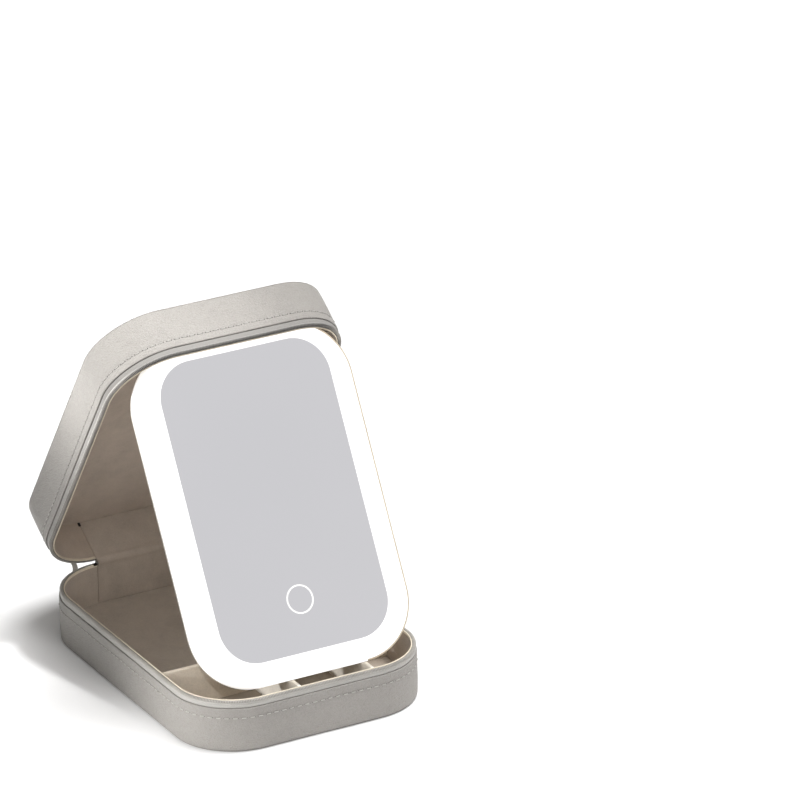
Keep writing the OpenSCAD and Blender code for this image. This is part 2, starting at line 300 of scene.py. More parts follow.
def needle_hole_shade(path, inset, z, up=False, pitch=5.2, length=3.1, start=2.0, mapf=None, size=1.0):
    """small near-black disc at each end of every stitch: painted shade standing in for the needle hole"""
    L = path.length(inset)
    n = int((L - 2 * start) / pitch)
    parts = []
    for i in range(n):
        for e in (-1, 1):
            s = start + (L - 2 * start) * (i + 0.5) / n + e * (length * 0.5 + 0.12)
            (x, y), nn = path.at(s, inset)
            t = np.array((nn[1], -nn[0], 0.0))
            a = np.array((0, 0, 1.0)) if up else np.array((nn[0], nn[1], 0.0))
            b = np.cross(t, a)
            c = np.array((x, y, z), float)
            V = [c - a * 0.22]
            F = []
            m = 8
            for (r, h) in ((0.34, 0.0), (0.30, 0.045), (0.16, 0.06)):
                V += [c + (t * 1.25 * math.cos(2 * math.pi * k / m) + b * math.sin(2 * math.pi * k / m)) * r * size + a * h for k in range(m)]
            V.append(c + a * 0.055)
            for k in range(m):
                q = (k + 1) % m
                F.append((0, 1 + q, 1 + k))
                for ring in (0, 1):
                    F.append((1 + ring * m + k, 1 + ring * m + q, 1 + (ring + 1) * m + q, 1 + (ring + 1) * m + k))
                F.append((1 + 2 * m + k, 1 + 2 * m + q, 1 + 3 * m))
            parts.append((V, F))
    V, F = joined(parts)
    return (mapf(V) if mapf else V), F


def stitch_row(path, inset, z, up=False, pitch=5.2, length=3.1, start=2.0, mapf=None, rad=0.33):
    L = path.length(inset)
    n = int((L - 2 * start) / pitch)
    parts = []
    for i in range(n):
        s = start + (L - 2 * start) * (i + 0.5) / n
        (x, y), nn = path.at(s, inset)
        t = (nn[1], -nn[0], 0)
        a = (0, 0, 1) if up else (nn[0], nn[1], 0)
        j = random.uniform(-0.12, 0.12)
        zz = z + (0 if up else random.uniform(-0.05, 0.05))
        parts.append(stitch((x + t[0] * j, y + t[1] * j, zz), t, a, length * random.uniform(0.94, 1.04), rad))
    V, F = joined(parts)
    return (mapf(V) if mapf else V), F


# ------------------------------------------------------------------ materials
def node_mat(name):
    m = bpy.data.materials.new(name)
    m.use_nodes = True
    nt = m.node_tree
    for n in list(nt.nodes):
        nt.nodes.remove(n)
    out = nt.nodes.new("ShaderNodeOutputMaterial")
    bs = nt.nodes.new("ShaderNodeBsdfPrincipled")
    nt.links.new(bs.outputs[0], out.inputs[0])
    return m, nt, bs, out


def N(nt, kind, **kw):
    n = nt.nodes.new(kind)
    for k, v in kw.items():
        if k in n.inputs:
            n.inputs[k].default_value = v
        else:
            setattr(n, k, v)
    return n


def tex(nt, src="Object"):
    c = nt.nodes.new("ShaderNodeTexCoord")
    return c.outputs[src]


def ramp(nt, fac, stops):
    r = nt.nodes.new("ShaderNodeValToRGB")
    r.color_ramp.elements[0].position = stops[0][0]
    r.color_ramp.elements[0].color = (*stops[0][1], 1)
    r.color_ramp.elements[1].position = stops[-1][0]
    r.color_ramp.elements[1].color = (*stops[-1][1], 1)
    for p, c in stops[1:-1]:
        e = r.color_ramp.elements.new(p)
        e.color = (*c, 1)
    nt.links.new(fac, r.inputs[0])
    return r.outputs[0]


def noise_tex(nt, vec, scale, detail=4, rough=0.55, dist=0.0):
    n = nt.nodes.new("ShaderNodeTexNoise")
    n.inputs["Scale"].default_value = scale
    n.inputs["Detail"].default_value = detail
    n.inputs["Roughness"].default_value = rough
    n.inputs["Distortion"].default_value = dist
    nt.links.new(vec, n.inputs["Vector"])
    return n


def math_node(nt, op, a, b=None, c=None):
    n = nt.nodes.new("ShaderNodeMath")
    n.operation = op
    for i, v in enumerate((a, b, c)):
        if v is None:
            continue
        if isinstance(v, (int, float)):
            n.inputs[i].default_value = v
        else:
            nt.links.new(v, n.inputs[i])
    return n.outputs[0]


def bump(nt, height, dist, strength=1.0, normal=None):
    b = nt.nodes.new("ShaderNodeBump")
    b.inputs["Distance"].default_value = dist
    b.inputs["Strength"].default_value = strength
    nt.links.new(height, b.inputs["Height"])
    if normal is not None:
        nt.links.new(normal, b.inputs["Normal"])
    return b.outputs[0]


def shade(c, k):
    return tuple(min(1.0, max(0.0, x * k)) for x in c)


def leather(name, col, grain=820, depth=0.00045, rough=0.58, spec=0.36):
    """pebbled hide: raised cells with fine creases between them, over slow swells and a mottled tone; the creases are
    also darkened in the colour as painted shade
    """
    m, nt, bs, out = node_mat(name)
    v = tex(nt)
    warp = noise_tex(nt, v, 520, 2)
    mixv = nt.nodes.new("ShaderNodeMix")
    mixv.data_type = "VECTOR"
    mixv.inputs[0].default_value = 0.0009
    nt.links.new(v, mixv.inputs[4])
    nt.links.new(warp.outputs["Color"], mixv.inputs[5])
    vo = nt.nodes.new("ShaderNodeTexVoronoi")
    vo.feature = "DISTANCE_TO_EDGE"
    vo.inputs["Scale"].default_value = grain
    nt.links.new(mixv.outputs[1], vo.inputs["Vector"])
    cell = math_node(nt, "POWER", math_node(nt, "MINIMUM", math_node(nt, "MULTIPLY", vo.outputs["Distance"], 3.2), 1.0), 0.6)
    fine = noise_tex(nt, v, 2900, 3, 0.6)
    peb = noise_tex(nt, v, 640, 2, 0.5, 0.3)
    big = noise_tex(nt, v, 20, 3, 0.5)
    mid = noise_tex(nt, v, 190, 3, 0.55)
    h = math_node(nt, "ADD", math_node(nt, "MULTIPLY", cell, 0.42), math_node(nt, "MULTIPLY", fine.outputs["Fac"], 0.12))
    h = math_node(nt, "ADD", h, math_node(nt, "MULTIPLY", peb.outputs["Fac"], 0.95))
    h = math_node(nt, "ADD", h, math_node(nt, "MULTIPLY", mid.outputs["Fac"], 0.8))
    nt.links.new(bump(nt, h, depth, 1.0), bs.inputs["Normal"])
    tone = math_node(nt, "ADD", math_node(nt, "MULTIPLY", big.outputs["Fac"], 0.5), math_node(nt, "MULTIPLY", mid.outputs["Fac"], 0.25))
    tone = math_node(nt, "ADD", tone, math_node(nt, "MULTIPLY", peb.outputs["Fac"], 0.25))
    base = ramp(nt, tone, [(0.36, shade(col, 0.93)), (0.5, col), (0.64, shade(col, 1.05))])
    # painted shade: the colour is multiplied darker in the creases between the cells
    dark = nt.nodes.new("ShaderNodeMix")
    dark.data_type = "RGBA"
    dark.blend_type = "MULTIPLY"
    nt.links.new(base, dark.inputs[6])
    nt.links.new(ramp(nt, cell, [(0.0, (0.72, 0.71, 0.70)), (0.55, (1, 1, 1))]), dark.inputs[7])
    dark.inputs[0].default_value = 0.6
    nt.links.new(dark.outputs[2], bs.inputs["Base Color"])
    nt.links.new(ramp(nt, peb.outputs["Fac"], [(0.3, (rough + 0.08,) * 3), (0.7, (rough - 0.05,) * 3)]), bs.inputs["Roughness"])
    bs.inputs["Specular IOR Level"].default_value = spec
    bs.inputs["Sheen Weight"].default_value = 0.05
    bs.inputs["Sheen Roughness"].default_value = 0.5
    return m


def suede(name, col, depth=0.00012, sheen=0.25, scale=1.0):
    m, nt, bs, out = node_mat(name)
    v = tex(nt)
    nap = noise_tex(nt, v, 2600 * scale, 4, 0.65)
    blot = noise_tex(nt, v, 90 * scale, 4, 0.6, 0.4)
    wide = noise_tex(nt, v, 18, 2, 0.5)
    tone = math_node(nt, "ADD", math_node(nt, "MULTIPLY", blot.outputs["Fac"], 0.45), math_node(nt, "MULTIPLY", wide.outputs["Fac"], 0.3))
    tuft = noise_tex(nt, v, 1050 * scale, 2, 0.6)
    tone = math_node(nt, "ADD", tone, math_node(nt, "MULTIPLY", nap.outputs["Fac"], 0.15))
    tone = math_node(nt, "ADD", tone, math_node(nt, "MULTIPLY", tuft.outputs["Fac"], 0.35))
    c = ramp(nt, tone, [(0.46, shade(col, 0.86)), (0.62, col), (0.78, shade(col, 1.12))])
    nt.links.new(c, bs.inputs["Base Color"])
    h = math_node(nt, "ADD", nap.outputs["Fac"], math_node(nt, "MULTIPLY", blot.outputs["Fac"], 0.6))
    h = math_node(nt, "ADD", h, math_node(nt, "MULTIPLY", tuft.outputs["Fac"], 1.4))
    nt.links.new(bump(nt, h, depth * 1.6, 0.9), bs.inputs["Normal"])
    bs.inputs["Roughness"].default_value = 0.94
    bs.inputs["Specular IOR Level"].default_value = 0.15
    bs.inputs["Sheen Weight"].default_value = sheen
    bs.inputs["Sheen Roughness"].default_value = 0.45
    return m


def shaded(nt, colour, band):
    """painted shade: darkens the colour towards the lid's front edge; band = (z where it starts, z where it ends,
    factor), metres at rest
    """
    sp = nt.nodes.new("ShaderNodeSeparateXYZ")
    nt.links.new(tex(nt), sp.inputs[0])
    mr = nt.nodes.new("ShaderNodeMapRange")
    mr.interpolation_type = "SMOOTHSTEP"
    nt.links.new(sp.outputs[2], mr.inputs["Value"])
    mr.inputs["From Min"].default_value, mr.inputs["From Max"].default_value = band[0], band[1]
    mr.inputs["To Min"].default_value, mr.inputs["To Max"].default_value = 1.0, band[2]
    vm = nt.nodes.new("ShaderNodeVectorMath")
    vm.operation = "SCALE"
    nt.links.new(colour, vm.inputs[0])
    nt.links.new(mr.outputs[0], vm.inputs["Scale"])
    return vm.outputs[0]


def weave(name, col, period=0.62, depth=0.00010, rough=0.8, lo=0.8, sheen=0.1, band=None):
    """close twill: diagonal ribs crossed by fine threads, on UVs in metres"""
    m, nt, bs, out = node_mat(name)
    uv = tex(nt, "UV")
    sep = nt.nodes.new("ShaderNodeSeparateXYZ")
    nt.links.new(uv, sep.inputs[0])
    k = 2 * math.pi * 1000 / period
    diag = math_node(nt, "SINE", math_node(nt, "MULTIPLY", math_node(nt, "ADD", sep.outputs[0], sep.outputs[1]), k))
    cross = math_node(nt, "SINE", math_node(nt, "MULTIPLY", math_node(nt, "SUBTRACT", sep.outputs[0], sep.outputs[1]), k * 2.0))
    wv = math_node(nt, "ADD", math_node(nt, "MULTIPLY", diag, 0.35), math_node(nt, "MULTIPLY", cross, 0.15))
    wv = math_node(nt, "ADD", wv, 0.5)
    v = tex(nt)
    fz = noise_tex(nt, v, 1800, 3, 0.6)
    tone = math_node(nt, "ADD", math_node(nt, "MULTIPLY", wv, 0.7), math_node(nt, "MULTIPLY", fz.outputs["Fac"], 0.3))
    c = ramp(nt, tone, [(0.25, shade(col, lo)), (0.7, shade(col, 1.05))])
    nt.links.new(shaded(nt, c, band) if band else c, bs.inputs["Base Color"])
    h = math_node(nt, "ADD", wv, math_node(nt, "MULTIPLY", fz.outputs["Fac"], 0.4))
    nt.links.new(bump(nt, h, depth, 0.8), bs.inputs["Normal"])
    bs.inputs["Roughness"].default_value = rough
    bs.inputs["Specular IOR Level"].default_value = 0.25
    bs.inputs["Sheen Weight"].default_value = sheen
    return m


def plastic(name, col, rough=0.4, tex_depth=0.00003, tex_scale=1500, spec=0.5, vary=0.04, band=None):
    m, nt, bs, out = node_mat(name)
    v = tex(nt)
    fine = noise_tex(nt, v, tex_scale, 3, 0.6)
    big = noise_tex(nt, v, 60, 3, 0.5)
    c = ramp(nt, big.outputs["Fac"], [(0.35, shade(col, 1 - vary)), (0.65, shade(col, 1 + vary))])
    nt.links.new(shaded(nt, c, band) if band else c, bs.inputs["Base Color"])
    nt.links.new(ramp(nt, big.outputs["Fac"], [(0.3, (rough - 0.04,) * 3), (0.7, (rough + 0.05,) * 3)]), bs.inputs["Roughness"])
    nt.links.new(bump(nt, fine.outputs["Fac"], tex_depth, 0.8), bs.inputs["Normal"])
    bs.inputs["Specular IOR Level"].default_value = spec
    return m


def metal(name, col, rough=0.28, brushed=True):
    m, nt, bs, out = node_mat(name)
    v = tex(nt)
    mp = nt.nodes.new("ShaderNodeMapping")
    mp.inputs["Scale"].default_value = (1.0, 1.0, 14.0) if brushed else (1, 1, 1)
    nt.links.new(v, mp.inputs["Vector"])
    g = noise_tex(nt, mp.outputs[0], 900, 4, 0.6)
    big = noise_tex(nt, v, 120, 3, 0.5)
    nt.links.new(ramp(nt, big.outputs["Fac"], [(0.3, shade(col, 0.9)), (0.7, shade(col, 1.06))]), bs.inputs["Base Color"])
    nt.links.new(ramp(nt, g.outputs["Fac"], [(0.3, (rough - 0.06,) * 3), (0.7, (rough + 0.1,) * 3)]), bs.inputs["Roughness"])
    nt.links.new(bump(nt, g.outputs["Fac"], 0.00002, 0.6), bs.inputs["Normal"])
    bs.inputs["Metallic"].default_value = 1.0
    return m


def glow(name, col, strength, base=(0.9, 0.9, 0.9), vary=0.06, scale=40, rough=0.35):
    """lit frosted plastic: a slightly cloudy glow under a satin skin"""
    m, nt, bs, out = node_mat(name)
    v = tex(nt)
    cloud = noise_tex(nt, v, scale, 3, 0.5)
    fine = noise_tex(nt, v, 1600, 3, 0.6)
    nt.links.new(ramp(nt, cloud.outputs["Fac"], [(0.3, shade(col, 1 - vary)), (0.7, col)]), bs.inputs["Emission Color"])
    nt.links.new(ramp(nt, fine.outputs["Fac"], [(0.3, shade(base, 0.97)), (0.7, base)]), bs.inputs["Base Color"])
    nt.links.new(bump(nt, fine.outputs["Fac"], 0.00002, 0.5), bs.inputs["Normal"])
    bs.inputs["Emission Strength"].default_value = strength
    bs.inputs["Roughness"].default_value = rough
    return m


LEATHER = (0.318, 0.302, 0.281)
M = {}
M["leather"] = leather("leather_light_grey", LEATHER)
M["leather_panel"] = leather("leather_panel_grey", shade(LEATHER, 1.03), grain=760)
M["leather_under"] = leather("leather_underside", shade(LEATHER, 0.82), rough=0.62)
M["suede"] = suede("suede_taupe", (0.475, 0.408, 0.345))
# painted shade: the lid's lining suede is a darker copy of the wall suede
M["suede_lid"] = suede("suede_taupe_lid_painted_shade", (0.440, 0.366, 0.302))
# painted shade: the floor's suede is a slightly darker copy of the wall suede
M["suede_floor_painted_shade"] = suede("suede_floor_painted_shade", (0.465, 0.402, 0.337))
# painted light: the partition's suede is a much lighter copy of the lining suede
M["suede_part"] = suede("suede_partition_painted_light", (0.80, 0.71, 0.59))
M["edge"] = suede("edge_turned", (0.82, 0.74, 0.60), sheen=0.12)
M["cream"] = suede("divider_cream", (0.80, 0.755, 0.675), depth=0.00006, sheen=0.1, scale=1.4)
M["tape"] = weave("zip_tape_twill", (0.46, 0.445, 0.418))
# painted shade: the lid's tape is a darker copy of the tape, darkened further towards the lid's front edge
M["tape_lid"] = weave("zip_tape_twill_lid_painted_shade", (0.345, 0.332, 0.312), band=(0.150, 0.180, 0.78))
M["coil"] = plastic("zip_coil", (0.42, 0.40, 0.37), rough=0.4, vary=0.08)
# painted shade: the lid's coil is a darker copy of the coil, darkened further towards the lid's front edge
M["coil_lid"] = plastic("zip_coil_lid", (0.30, 0.284, 0.26), rough=0.4, vary=0.08, band=(0.200, 0.217, 0.36))
M["bead"] = weave("zip_tape_edge", (0.54, 0.525, 0.49), period=0.45, depth=0.00006)
# painted highlight and shade: the lid's selvedge is a lighter copy of the base's, darkened towards the lid's front edge
M["bead_lid"] = weave("zip_tape_edge_lid_painted_light_and_shade", (0.76, 0.745, 0.71), period=0.45, depth=0.00006, band=(0.198, 0.217, 0.46))
# painted shade: dark tones for the crevice under the leather's turned edge on the lid and on the base, and for the
# base's zip channel
M["crevice"] = suede("painted_shade_crevice", (0.14, 0.13, 0.118), sheen=0.0)
M["crevice_base"] = suede("edge_crevice_base", (0.25, 0.235, 0.215), sheen=0.0)
# painted shade: the lid's turned edge is a darker copy of the base's turned edge
M["edge_lid"] = suede("edge_turned_lid_painted_shade", (0.64, 0.565, 0.445), sheen=0.12)
M["thread"] = weave("stitch_thread", (0.48, 0.464, 0.436), period=0.5, depth=0.00005)
# painted light and shade: the lid's thread is a lighter copy of the thread, darkened towards the lid's top
M["thread_lid"] = weave("stitch_thread_lid", (0.56, 0.542, 0.51), period=0.5, depth=0.00005, band=(0.085, 0.115, 0.70))
M["board"] = suede("board_raw", (0.20, 0.165, 0.125), sheen=0.0)
# painted shade: near-black for needle holes, notches, the lid's zip channel and the tape's hidden faces, where only
# shade shows
M["dark"] = suede("painted_shade_black", (0.03, 0.027, 0.024), sheen=0.0)
M["foam"] = suede("foam_open", (0.62, 0.60, 0.54), scale=0.7)
M["metal"] = metal("zip_metal_satin", (0.63, 0.58, 0.52), 0.3)
M["steel"] = metal("steel_drawn", (0.55, 0.55, 0.56), 0.32)
M["bracket"] = plastic("bracket_moulded", (0.60, 0.58, 0.55), rough=0.45)
M["back"] = plastic("back_cover_textured", (0.72, 0.70, 0.66), rough=0.5, tex_depth=0.00006, tex_scale=1300)
M["carrier"] = plastic("carrier_moulded", (0.66, 0.65, 0.63), rough=0.5)
M["pcb"] = plastic("board_green", (0.03, 0.16, 0.07), rough=0.35, vary=0.2)
M["ledpcb"] = plastic("board_white", (0.78, 0.79, 0.76), rough=0.4)
M["cell"] = metal("cell_foil", (0.62, 0.64, 0.66), 0.4, False)
M["film"] = metal("sensor_film", (0.55, 0.38, 0.2), 0.35, False)
M["led"] = glow("lamp_phosphor", (1.0, 0.93, 0.72), 3.0, (0.9, 0.8, 0.5))
M["glow"] = glow("lit_border", (1.0, 0.998, 0.99), 1.0, (0.22, 0.22, 0.218), vary=0.03)
M["side"] = glow("lit_side", (1.0, 0.985, 0.96), 0.75)
M["ring"] = glow("touch_mark_lit", (1.0, 0.995, 0.975), 0.85, (0.25, 0.25, 0.245))
# painted shade: near-black filling the mirror unit's parting gap
M["gasket"] = plastic("seam_gasket", (0.10, 0.095, 0.09), rough=0.6)
# painted shade: dark tan for the right part of the border's edge and its back step
M["trim"] = plastic("plate_edge_painted_shade", (0.50, 0.42, 0.31), rough=0.35)


def silver(name):
    m, nt, bs, out = node_mat(name)
    v = tex(nt)
    c = noise_tex(nt, v, 9, 2, 0.4)
    nt.links.new(ramp(nt, c.outputs["Fac"], [(0.3, (0.855, 0.855, 0.875)), (0.7, (0.875, 0.873, 0.893))]), bs.inputs["Base Color"])
    bs.inputs["Metallic"].default_value = 1.0
    g = noise_tex(nt, v, 240, 2, 0.5)
    nt.links.new(ramp(nt, g.outputs["Fac"], [(0.3, (0.012,) * 3), (0.7, (0.03,) * 3)]), bs.inputs["Roughness"])
    return m


M["silver"] = silver("silvered_glass")

# every CAD node that stays gets a worked material; those listed in BEVEL also get softened edges
KEEP = {"base_bottom_cover": "leather_under", "base_bottom_board": "board", "base_frame_wall": "board",
        "lid_frame_wall": "board", "lid_top_board": "board", "lid_top_foam": "foam",
        "bracket_plate": "bracket", "bracket_arms": "bracket", "bracket_screws": "steel",
        "light_frame": "side", "led_board": "ledpcb", "leds": "led", "carrier_plate": "carrier",
        "touch_sensor": "film", "touch_ring": "ring", "control_board": "pcb", "battery": "cell",
        "charge_port": "steel", "mirror_back_cover": "back", "back_cover_screws": "steel",
        "mirror_hinge_pin": "steel", "mirror_glass": "silver", "light_border": "glow"}
BEVEL = {"light_frame": 0.35, "bracket_plate": 0.3, "bracket_arms": 0.4, "mirror_back_cover": 0.6, "control_board": 0.15, "battery": 0.5,
         "base_bottom_cover": 0.25}
for n, o in NODES.items():
    key = KEEP.get(n, "leather")
    o.data.materials.clear()
    o.data.materials.append(M[key])
    if n in BEVEL:
        wd = o.modifiers.new("weld", "WELD")
        wd.merge_threshold = 1e-6
        bv = o.modifiers.new("bevel", "BEVEL")
        bv.width = BEVEL[n] / 1000
        bv.segments = 3
        bv.limit_method = "ANGLE"
        bv.angle_limit = math.radians(50)
        bv.harden_normals = False


# ------------------------------------------------------------------ leather sides
def wob(amp, scale, seed):
    def f(s, j):
        a = s / scale
        return (amp * noise.noise(Vector((a, j * 0.13, seed))), 0.0)
    return f


def side_profile(z0, z1, groove, up=True):
    """leather wall with a rounded foot, a stitch groove and a turned edge at the tape. up: foot at z0, turned edge at z1"""
    H = abs(z1 - z0)
    s = 1 if up else -1
    P = [(0.98, 0.0), (0.75, 0.05), (0.4, 0.2), (0.14, 0.5), (0.03, 0.95), (-0.04, 1.8), (-0.12, 4.5), (-0.2, 8.0),
         (-0.2, 12.0), (-0.14, groove - 3.0), (-0.06, groove - 1.5), (0.0, groove - 0.9), (0.08, groove - 0.45), (0.14, groove),
         (0.08, groove + 0.45), (-0.04, groove + 0.9), (-0.1, groove + 1.8), (-0.14, groove + 3.0), (-0.10, H - 1.7),
         (-0.14, H - 1.1), (-0.1, H - 0.55), (0.05, H - 0.2), (0.28, H), (0.6, H - 0.02), (0.9, H - 0.2), (0.98, H - 0.6)]
    return [(a, z0 + s * b) for a, b in P]


GROOVE = 22.3
V, F, uv = sweep(RING, side_profile(0.8, 28.55, GROOVE - 0.8), 26, 4.0, wobble=wob(0.16, 17, 1.3))
base_side = add("base_leather_side", V, F, M["leather"], "base", uv, 60)
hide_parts("base_side_cover")
V, F, uv = sweep(RING, side_profile(66.3, 39.1, GROOVE - 0.2, up=False), 26, 4.0, wobble=wob(0.16, 17, 5.1))
lid_side = add("lid_leather_side", to_lid(V), F, M["leather"], "lid", uv, 60)
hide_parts("lid_side_cover")

# painted shade: near-black discs at the stitch ends stand in for the needle holes
V, F = needle_hole_shade(RING, 0.07, GROOVE + 0.0, size=0.55)
add("base_side_needle_holes", V, F, M["dark"], "base", flat_uv(V), 60)
V, F = needle_hole_shade(RING, 0.06, 67 - GROOVE - 0.6, mapf=to_lid, size=0.9)
add("lid_side_needle_holes", V, F, M["dark"], "lid", flat_uv(V), 60)
V, F = needle_hole_shade(RING, 6.55, 66.34, up=True, mapf=to_lid)
add("lid_border_needle_holes", V, F, M["dark"], "lid", flat_uv(V), 60)
V, F = stitch_row(RING, 0.03, GROOVE + 0.0)
o = add("base_side_stitching", V, F, M["thread"], "base", flat_uv(V), 60)
V, F = stitch_row(RING, 0.09, 67 - GROOVE - 0.6)
V = to_lid(V)
o = add("lid_side_stitching", V, F, M["thread_lid"], "lid", flat_uv(V), 60)

# ------------------------------------------------------------------ top of the lid: bound border, sewn, and the padded panel
prof = [(0.5, 66.0), (0.2, 66.15), (0.12, 66.35), (0.32, 66.52), (0.8, 66.6), (2.0, 66.66), (4.5, 66.66), (5.9, 66.58),
        (6.3, 66.42), (6.65, 66.28), (6.95, 66.35), (7.2, 66.3), (7.3, 65.6), (5.0, 65.55), (1.0, 65.6)]
V, F, uv = sweep(RING, prof, 26, 4.0, wobble=lambda s, j: (0.0, 0.05 * noise.noise(Vector((s / 15, j * 0.2, 9.0)))))
border = add("lid_border_band", to_lid(V), F, M["leather"], "lid", uv, 60)
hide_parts("lid_top_binding")
V, F = stitch_row(RING, 6.55, 66.5, up=True, mapf=to_lid)
o = add("lid_border_stitching", V, F, M["thread"], "lid", flat_uv(V), 60)
inner = Path(W - 14.2, D - 14.2, R - 7.1, whole=True)
V, F = slab(inner, 65.5, 66.3, edge=0.35, corner=20, step=5.0, crown=1.9, rings=12, soft=0.35, seed=3.0)
panel = add("lid_padded_panel", to_lid(V), F, M["leather_panel"], "lid", flat_uv(V), 60)
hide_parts("lid_top_cover")


# ------------------------------------------------------------------ zip: tapes and coil
def tape_profile(z_leather, z_edge, deep=0.0):
    """woven band that dips under the leather's turned edge and ends in a pale selvedge beside the coil"""
    s = 1 if z_edge > z_leather else -1
    H = abs(z_edge - z_leather)
    P = [(1.3, -0.7), (0.94, -0.6), (0.94, 0.22), (0.66 + deep, 0.55), (0.60 + deep, 1.2), (0.72 + deep, 2.6), (0.90, H - 1.0), (0.80, H - 0.78),
         (0.72, H - 0.45), (0.82, H - 0.15), (1.04, H + 0.03), (1.22, H - 0.07), (1.30, H - 0.3), (1.35, H - 0.8), (1.6, 1.0)]
    return [(a, z_leather + s * b) for a, b in P]


def coil_teeth(path, z, s, mapf=None, pitch=0.96):
    """one half of a coil zip: loops that stand on the tape's edge and turn in over the board"""
    inset = 1.25
    L = path.length(inset)
    n = int(L / pitch)
    parts = []
    m = 6
    line = [(0.10, -1.72, 0.14), (0.42, -1.55, 0.24), (0.50, -1.2, 0.28), (0.52, -0.75, 0.29), (0.48, -0.3, 0.29), (0.33, 0.02, 0.28),
            (0.02, 0.13, 0.27), (-0.5, 0.13, 0.26), (-1.0, 0.05, 0.24), (-1.35, -0.25, 0.18)]
    for i in range(n):
        (x, y), nn = path.at((i + 0.5) * L / n, inset)
        t = np.array((nn[1], -nn[0], 0.0))
        a = np.array((nn[0], nn[1], 0.0))
        up = np.array((0, 0, 1.0)) * s
        V, F = [], []
        for q, (d, h, r) in enumerate(line):
            c = np.array((x, y, z)) + a * d + up * h
            p0, p1 = line[max(q - 1, 0)], line[min(q + 1, len(line) - 1)]
            g = np.array((p1[0] - p0[0], p1[1] - p0[1]))
            g /= np.linalg.norm(g)
            w = a * -g[1] + up * g[0]
            for k in range(m):
                an = 2 * math.pi * (k + 0.5) / m
                V.append(c + t * r * 1.05 * math.cos(an) + w * r * math.sin(an))
        for q in range(len(line) - 1):
            for k in range(m):
                F.append((q * m + k, q * m + (k + 1) % m, (q + 1) * m + (k + 1) % m, (q + 1) * m + k))
        F.append(tuple(reversed(range(m))))
        F.append(tuple((len(line) - 1) * m + k for k in range(m)))
        parts.append((V, F))
    V, F = joined(parts)
    return (mapf(V) if mapf else V), F


# painted shade: face 1 of the tape profile, the recess under the leather's edge, takes the crevice tone, and faces
# 11-12 beside the coil take near-black; faces 7-10 take the selvedge
def tape_slot(fi):
    k = fi % 15
    return 2 if k == 1 else 3 if k in (11, 12) else 1 if 7 <= k <= 10 else 0


V, F, uv = sweep(RIM, tape_profile(28.5, 31.95), 26, 5.0, wobble=wob(0.08, 12, 2.2))
o = add("base_zip_tape_woven", V, F, None, "base", uv, 60, slots=[M["tape"], M["bead"], M["crevice_base"], M["dark"]], face_slot=tape_slot)
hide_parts("base_zip_tape")
V, F, uv = sweep(RIM, tape_profile(39.15, 35.05, 0.06), 26, 5.0, wobble=wob(0.08, 12, 6.2))
o = add("lid_zip_tape_woven", to_lid(V), F, None, "lid", uv, 60, slots=[M["tape_lid"], M["bead_lid"], M["crevice"], M["dark"]], face_slot=tape_slot)
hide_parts("lid_zip_tape")
# the channel the loops stand in, coloured as painted shade: crevice tone on the base, near-black on the lid
V, F, uv = sweep(RIM, [(0.97, 31.2), (0.97, 32.66), (1.12, 32.78), (2.0, 32.86), (2.95, 32.74), (2.95, 32.0)], 26, 5.0)
add("base_zip_channel", V, F, M["crevice_base"], "base", uv, 60)
V, F, uv = sweep(RIM, [(0.97, 35.8), (0.97, 34.34), (1.12, 34.22), (2.0, 34.14), (2.95, 34.26), (2.95, 35.0)], 26, 5.0)
add("lid_zip_channel", to_lid(V), F, M["dark"], "lid", uv, 60)
V, F = coil_teeth(RIM, 33.05, 1)
o = add("base_zip_coil", V, F, M["coil"], "base", flat_uv(V), 60)
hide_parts("base_zip_teeth")
V, F = coil_teeth(RIM, 33.95, -1, to_lid)
o = add("lid_zip_coil", V, F, M["coil_lid"], "lid", flat_uv(V), 60)
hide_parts("lid_zip_teeth")


# ------------------------------------------------------------------ turned rim edges and wall linings
def edge_profile(z_low, z_top):
    s = 1 if z_top > z_low else -1
    H = abs(z_top - z_low)
    P = [(2.92, 0.0), (2.9, H - 0.65), (2.94, H - 0.32), (3.05, H - 0.08), (3.2, H), (3.35, H - 0.04), (3.52, H - 0.22), (3.6, H - 0.62),
         (3.58, 0.4), (3.5, 0.0)]
    return [(a, z_low + s * b) for a, b in P]


V, F, uv = sweep(RIM, edge_profile(31.6, 33.42), 26, 5.0, wobble=wob(0.07, 9, 4.4))
o = add("base_rim_edge", V, F, M["edge"], "base", uv, 60)
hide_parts("base_rim_edging")
V, F, uv = sweep(RIM, edge_profile(35.4, 33.58), 26, 5.0, wobble=wob(0.07, 9, 7.7))
o = add("lid_rim_edge", to_lid(V), F, M["edge_lid"], "lid", uv, 60)
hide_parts("lid_rim_edging")


def lining_profile(z_floor, z_top, foot):
    s = 1 if z_top > z_floor else -1
    H = abs(z_top - z_floor)
    P = [(2.62, foot), (2.62, H), (3.0, H + 0.02), (3.36, H - 0.15), (3.42, H - 1.0), (3.46, H * 0.75), (3.55, H * 0.5), (3.52, H * 0.25),
         (3.45, 1.5), (3.5, 0.4), (3.7, -0.3), (3.7, foot)]
    return [(a, z_floor + s * b) for a, b in P]


V, F, uv = sweep(RIM, lining_profile(FLOOR_Z, 32.6, -3.5), 26, 5.0, wobble=wob(0.12, 21, 8.8))
o = add("base_wall_suede", V, F, M["suede"], "base", uv, 60)
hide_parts("base_wall_lining")
V, F, uv = sweep(RIM, lining_profile(LID_IN, 34.4, -0.5), 26, 5.0, wobble=wob(0.12, 21, 3.8))
o = add("lid_wall_suede", to_lid(V), F, M["suede_lid"], "lid", uv, 60)
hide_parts("lid_wall_lining")

